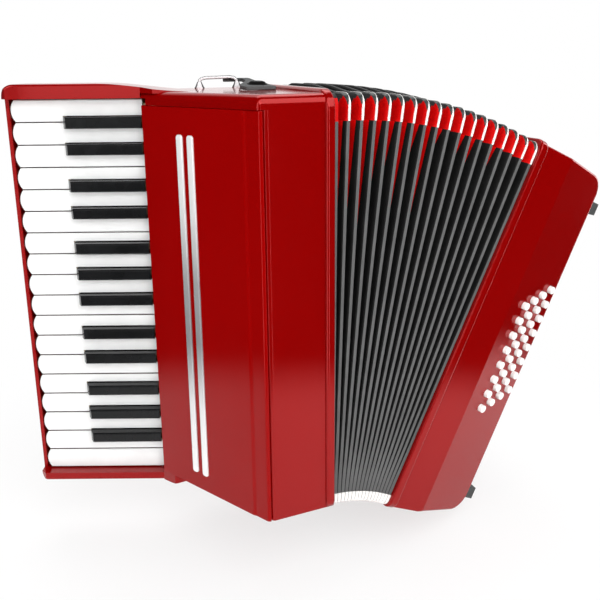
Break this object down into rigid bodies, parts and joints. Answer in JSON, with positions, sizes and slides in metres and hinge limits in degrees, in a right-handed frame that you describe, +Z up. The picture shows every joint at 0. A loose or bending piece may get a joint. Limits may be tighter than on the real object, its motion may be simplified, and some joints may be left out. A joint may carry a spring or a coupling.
{
  "type": "piano accordion",
  "caption": "Red piano accordion with a slanted grille, leaning keyboard, fanned-open pleated bellows and a button bass box with hand strap.",
  "frame": {"origin": "centre of the treble casing's base face, midway between the grille ridge and the bellows plane and midway front to back", "axes": "+Z up along the treble casing, +X from the keyboard side towards the bass side, -Y out of the front that faces the audience; the player is at +Y"},
  "size_m": [0.5484, 0.2002, 0.4344],
  "materials": {
    "red_lacquer": "high gloss",
    "grille_red": "high gloss",
    "chrome": "polished",
    "key_white": "polished",
    "key_black": "polished",
    "steel": "drawn",
    "reed_wood": "planed",
    "reed_plate": "satin",
    "frame_wood": "planed",
    "bellows_card": "cloth covered card",
    "strap_leather": "grained",
    "snap_strap": "smooth",
    "rubber": "matt",
    "button_white": "polished",
    "wheel_plastic": "knurled"
  },
  "bodies": {
    "treble": {"treble_casing": "red_lacquer", "treble_grille": "grille_red", "grille_trim_strips": "chrome", "keyboard_case": "red_lacquer", "key_axle": "steel", "treble_reed_assembly": "reed_wood", "treble_reed_plates": "reed_plate", "bellows_frame_treble": "frame_wood", "strap_brackets": "chrome", "bellows_strap": "snap_strap"},
    "bass": {"bass_casing": "red_lacquer", "bass_end_cover": "red_lacquer", "bellows_frame_bass": "frame_wood", "bass_reed_assembly": "reed_wood", "bass_strap": "strap_leather", "rubber_feet": "rubber", "cover_screws": "chrome"},
    "adjuster": {"strap_adjuster_wheel": "wheel_plastic"},
    "air": {"air_button": "button_white"},
    "bellows_1": {"bellows_fold_1": "bellows_card"},
    "bellows_2": {"bellows_fold_2": "bellows_card"},
    "bellows_3": {"bellows_fold_3": "bellows_card"},
    "bellows_4": {"bellows_fold_4": "bellows_card"},
    "bellows_5": {"bellows_fold_5": "bellows_card"},
    "bellows_6": {"bellows_fold_6": "bellows_card"},
    "bellows_7": {"bellows_fold_7": "bellows_card"},
    "black_01": {"black_key_01": "key_black"},
    "black_02": {"black_key_02": "key_black"},
    "black_03": {"black_key_03": "key_black"},
    "black_04": {"black_key_04": "key_black"},
    "black_05": {"black_key_05": "key_black"},
    "black_06": {"black_key_06": "key_black"},
    "black_07": {"black_key_07": "key_black"},
    "black_08": {"black_key_08": "key_black"},
    "black_09": {"black_key_09": "key_black"},
    "black_10": {"black_key_10": "key_black"},
    "black_11": {"black_key_11": "key_black"},
    "black_12": {"black_key_12": "key_black"},
    "white_01": {"white_key_01": "key_white"},
    "white_02": {"white_key_02": "key_white"},
    "white_03": {"white_key_03": "key_white"},
    "white_04": {"white_key_04": "key_white"},
    "white_05": {"white_key_05": "key_white"},
    "white_06": {"white_key_06": "key_white"},
    "white_07": {"white_key_07": "key_white"},
    "white_08": {"white_key_08": "key_white"},
    "white_09": {"white_key_09": "key_white"},
    "white_10": {"white_key_10": "key_white"},
    "white_11": {"white_key_11": "key_white"},
    "white_12": {"white_key_12": "key_white"},
    "white_13": {"white_key_13": "key_white"},
    "white_14": {"white_key_14": "key_white"},
    "white_15": {"white_key_15": "key_white"},
    "white_16": {"white_key_16": "key_white"},
    "white_17": {"white_key_17": "key_white"},
    "white_18": {"white_key_18": "key_white"},
    "button_column_1": {"bass_buttons_1": "button_white"},
    "button_column_2": {"bass_buttons_2": "button_white"},
    "button_column_3": {"bass_buttons_3": "button_white"},
    "button_column_4": {"bass_buttons_4": "button_white"}
  },
  "joints": [
    {"name": "bellows_fan", "type": "hinge", "parent": "treble", "child": "bass", "pos_m": [0.052, 0, -0.006], "axis": [0, 1, 0], "range_deg": [-24.5, 15.5]},
    {"name": "fold_1_turn", "type": "hinge", "parent": "treble", "child": "bellows_1", "pos_m": [0.052, 0, -0.006], "axis": [0, 1, 0], "range_deg": [-2.25, 1.61]},
    {"name": "fold_2_turn", "type": "hinge", "parent": "treble", "child": "bellows_2", "pos_m": [0.052, 0, -0.006], "axis": [0, 1, 0], "range_deg": [-5.75, 3.82]},
    {"name": "fold_3_turn", "type": "hinge", "parent": "treble", "child": "bellows_3", "pos_m": [0.052, 0, -0.006], "axis": [0, 1, 0], "range_deg": [-9.25, 6.04]},
    {"name": "fold_4_turn", "type": "hinge", "parent": "treble", "child": "bellows_4", "pos_m": [0.052, 0, -0.006], "axis": [0, 1, 0], "range_deg": [-12.75, 8.25]},
    {"name": "fold_5_turn", "type": "hinge", "parent": "treble", "child": "bellows_5", "pos_m": [0.052, 0, -0.006], "axis": [0, 1, 0], "range_deg": [-16.25, 10.46]},
    {"name": "fold_6_turn", "type": "hinge", "parent": "treble", "child": "bellows_6", "pos_m": [0.052, 0, -0.006], "axis": [0, 1, 0], "range_deg": [-19.75, 12.68]},
    {"name": "fold_7_turn", "type": "hinge", "parent": "treble", "child": "bellows_7", "pos_m": [0.052, 0, -0.006], "axis": [0, 1, 0], "range_deg": [-23.25, 14.89]},
    {"name": "black_key_01_press", "type": "hinge", "parent": "treble", "child": "black_01", "pos_m": [-0.06775, 0.04579, 0.1837], "axis": [0, 0, -1], "range_deg": [0, 2], "stiffness_Nm_per_rad": 2, "springref_deg": -6.88},
    {"name": "black_key_02_press", "type": "hinge", "parent": "treble", "child": "black_02", "pos_m": [-0.06775, 0.04579, 0.1837], "axis": [0, 0, -1], "range_deg": [0, 2], "stiffness_Nm_per_rad": 2, "springref_deg": -6.88},
    {"name": "black_key_03_press", "type": "hinge", "parent": "treble", "child": "black_03", "pos_m": [-0.06775, 0.04579, 0.1837], "axis": [0, 0, -1], "range_deg": [0, 2], "stiffness_Nm_per_rad": 2, "springref_deg": -6.88},
    {"name": "black_key_04_press", "type": "hinge", "parent": "treble", "child": "black_04", "pos_m": [-0.06775, 0.04579, 0.1837], "axis": [0, 0, -1], "range_deg": [0, 2], "stiffness_Nm_per_rad": 2, "springref_deg": -6.88},
    {"name": "black_key_05_press", "type": "hinge", "parent": "treble", "child": "black_05", "pos_m": [-0.06775, 0.04579, 0.1837], "axis": [0, 0, -1], "range_deg": [0, 2], "stiffness_Nm_per_rad": 2, "springref_deg": -6.88},
    {"name": "black_key_06_press", "type": "hinge", "parent": "treble", "child": "black_06", "pos_m": [-0.06775, 0.04579, 0.1837], "axis": [0, 0, -1], "range_deg": [0, 2], "stiffness_Nm_per_rad": 2, "springref_deg": -6.88},
    {"name": "black_key_07_press", "type": "hinge", "parent": "treble", "child": "black_07", "pos_m": [-0.06775, 0.04579, 0.1837], "axis": [0, 0, -1], "range_deg": [0, 2], "stiffness_Nm_per_rad": 2, "springref_deg": -6.88},
    {"name": "black_key_08_press", "type": "hinge", "parent": "treble", "child": "black_08", "pos_m": [-0.06775, 0.04579, 0.1837], "axis": [0, 0, -1], "range_deg": [0, 2], "stiffness_Nm_per_rad": 2, "springref_deg": -6.88},
    {"name": "black_key_09_press", "type": "hinge", "parent": "treble", "child": "black_09", "pos_m": [-0.06775, 0.04579, 0.1837], "axis": [0, 0, -1], "range_deg": [0, 2], "stiffness_Nm_per_rad": 2, "springref_deg": -6.88},
    {"name": "black_key_10_press", "type": "hinge", "parent": "treble", "child": "black_10", "pos_m": [-0.06775, 0.04579, 0.1837], "axis": [0, 0, -1], "range_deg": [0, 2], "stiffness_Nm_per_rad": 2, "springref_deg": -6.88},
    {"name": "black_key_11_press", "type": "hinge", "parent": "treble", "child": "black_11", "pos_m": [-0.06775, 0.04579, 0.1837], "axis": [0, 0, -1], "range_deg": [0, 2], "stiffness_Nm_per_rad": 2, "springref_deg": -6.88},
    {"name": "black_key_12_press", "type": "hinge", "parent": "treble", "child": "black_12", "pos_m": [-0.06775, 0.04579, 0.1837], "axis": [0, 0, -1], "range_deg": [0, 2], "stiffness_Nm_per_rad": 2, "springref_deg": -6.88},
    {"name": "white_key_01_press", "type": "hinge", "parent": "treble", "child": "white_01", "pos_m": [-0.06775, 0.04579, 0.1837], "axis": [0, 0, -1], "range_deg": [0, 2], "stiffness_Nm_per_rad": 2, "springref_deg": -6.88},
    {"name": "white_key_02_press", "type": "hinge", "parent": "treble", "child": "white_02", "pos_m": [-0.06775, 0.04579, 0.1837], "axis": [0, 0, -1], "range_deg": [0, 2], "stiffness_Nm_per_rad": 2, "springref_deg": -6.88},
    {"name": "white_key_03_press", "type": "hinge", "parent": "treble", "child": "white_03", "pos_m": [-0.06775, 0.04579, 0.1837], "axis": [0, 0, -1], "range_deg": [0, 2], "stiffness_Nm_per_rad": 2, "springref_deg": -6.88},
    {"name": "white_key_04_press", "type": "hinge", "parent": "treble", "child": "white_04", "pos_m": [-0.06775, 0.04579, 0.1837], "axis": [0, 0, -1], "range_deg": [0, 2], "stiffness_Nm_per_rad": 2, "springref_deg": -6.88},
    {"name": "white_key_05_press", "type": "hinge", "parent": "treble", "child": "white_05", "pos_m": [-0.06775, 0.04579, 0.1837], "axis": [0, 0, -1], "range_deg": [0, 2], "stiffness_Nm_per_rad": 2, "springref_deg": -6.88},
    {"name": "white_key_06_press", "type": "hinge", "parent": "treble", "child": "white_06", "pos_m": [-0.06775, 0.04579, 0.1837], "axis": [0, 0, -1], "range_deg": [0, 2], "stiffness_Nm_per_rad": 2, "springref_deg": -6.88},
    {"name": "white_key_07_press", "type": "hinge", "parent": "treble", "child": "white_07", "pos_m": [-0.06775, 0.04579, 0.1837], "axis": [0, 0, -1], "range_deg": [0, 2], "stiffness_Nm_per_rad": 2, "springref_deg": -6.88},
    {"name": "white_key_08_press", "type": "hinge", "parent": "treble", "child": "white_08", "pos_m": [-0.06775, 0.04579, 0.1837], "axis": [0, 0, -1], "range_deg": [0, 2], "stiffness_Nm_per_rad": 2, "springref_deg": -6.88},
    {"name": "white_key_09_press", "type": "hinge", "parent": "treble", "child": "white_09", "pos_m": [-0.06775, 0.04579, 0.1837], "axis": [0, 0, -1], "range_deg": [0, 2], "stiffness_Nm_per_rad": 2, "springref_deg": -6.88},
    {"name": "white_key_10_press", "type": "hinge", "parent": "treble", "child": "white_10", "pos_m": [-0.06775, 0.04579, 0.1837], "axis": [0, 0, -1], "range_deg": [0, 2], "stiffness_Nm_per_rad": 2, "springref_deg": -6.88},
    {"name": "white_key_11_press", "type": "hinge", "parent": "treble", "child": "white_11", "pos_m": [-0.06775, 0.04579, 0.1837], "axis": [0, 0, -1], "range_deg": [0, 2], "stiffness_Nm_per_rad": 2, "springref_deg": -6.88},
    {"name": "white_key_12_press", "type": "hinge", "parent": "treble", "child": "white_12", "pos_m": [-0.06775, 0.04579, 0.1837], "axis": [0, 0, -1], "range_deg": [0, 2], "stiffness_Nm_per_rad": 2, "springref_deg": -6.88},
    {"name": "white_key_13_press", "type": "hinge", "parent": "treble", "child": "white_13", "pos_m": [-0.06775, 0.04579, 0.1837], "axis": [0, 0, -1], "range_deg": [0, 2], "stiffness_Nm_per_rad": 2, "springref_deg": -6.88},
    {"name": "white_key_14_press", "type": "hinge", "parent": "treble", "child": "white_14", "pos_m": [-0.06775, 0.04579, 0.1837], "axis": [0, 0, -1], "range_deg": [0, 2], "stiffness_Nm_per_rad": 2, "springref_deg": -6.88},
    {"name": "white_key_15_press", "type": "hinge", "parent": "treble", "child": "white_15", "pos_m": [-0.06775, 0.04579, 0.1837], "axis": [0, 0, -1], "range_deg": [0, 2], "stiffness_Nm_per_rad": 2, "springref_deg": -6.88},
    {"name": "white_key_16_press", "type": "hinge", "parent": "treble", "child": "white_16", "pos_m": [-0.06775, 0.04579, 0.1837], "axis": [0, 0, -1], "range_deg": [0, 2], "stiffness_Nm_per_rad": 2, "springref_deg": -6.88},
    {"name": "white_key_17_press", "type": "hinge", "parent": "treble", "child": "white_17", "pos_m": [-0.06775, 0.04579, 0.1837], "axis": [0, 0, -1], "range_deg": [0, 2], "stiffness_Nm_per_rad": 2, "springref_deg": -6.88},
    {"name": "white_key_18_press", "type": "hinge", "parent": "treble", "child": "white_18", "pos_m": [-0.06775, 0.04579, 0.1837], "axis": [0, 0, -1], "range_deg": [0, 2], "stiffness_Nm_per_rad": 2, "springref_deg": -6.88},
    {"name": "bass_column_1_press", "type": "slide", "parent": "bass", "child": "button_column_1", "axis": [-0.2793, 0.9517, 0.1273], "range_m": [0, 0.003], "stiffness_N_per_m": 150, "springref_m": -0.004},
    {"name": "bass_column_2_press", "type": "slide", "parent": "bass", "child": "button_column_2", "axis": [-0.2793, 0.9517, 0.1273], "range_m": [0, 0.003], "stiffness_N_per_m": 150, "springref_m": -0.004},
    {"name": "bass_column_3_press", "type": "slide", "parent": "bass", "child": "button_column_3", "axis": [-0.2793, 0.9517, 0.1273], "range_m": [0, 0.003], "stiffness_N_per_m": 150, "springref_m": -0.004},
    {"name": "bass_column_4_press", "type": "slide", "parent": "bass", "child": "button_column_4", "axis": [-0.2793, 0.9517, 0.1273], "range_m": [0, 0.003], "stiffness_N_per_m": 150, "springref_m": -0.004},
    {"name": "air_button_press", "type": "slide", "parent": "bass", "child": "air", "axis": [-0.91, 0, 0.4147], "range_m": [0, 0.005], "stiffness_N_per_m": 150, "springref_m": -0.004},
    {"name": "strap_wheel_turn", "type": "hinge", "parent": "bass", "child": "adjuster", "pos_m": [0.32522, 0.016, 0.25521], "axis": [0.4147, 0, 0.91], "continuous": true}
  ],
  "couplings": [
    {"joint": "fold_1_turn", "follows": "bellows_fan", "ratio": 0.071429},
    {"joint": "fold_2_turn", "follows": "bellows_fan", "ratio": 0.21429},
    {"joint": "fold_3_turn", "follows": "bellows_fan", "ratio": 0.35714},
    {"joint": "fold_4_turn", "follows": "bellows_fan", "ratio": 0.5},
    {"joint": "fold_5_turn", "follows": "bellows_fan", "ratio": 0.64286},
    {"joint": "fold_6_turn", "follows": "bellows_fan", "ratio": 0.78571},
    {"joint": "fold_7_turn", "follows": "bellows_fan", "ratio": 0.92857}
  ]
}
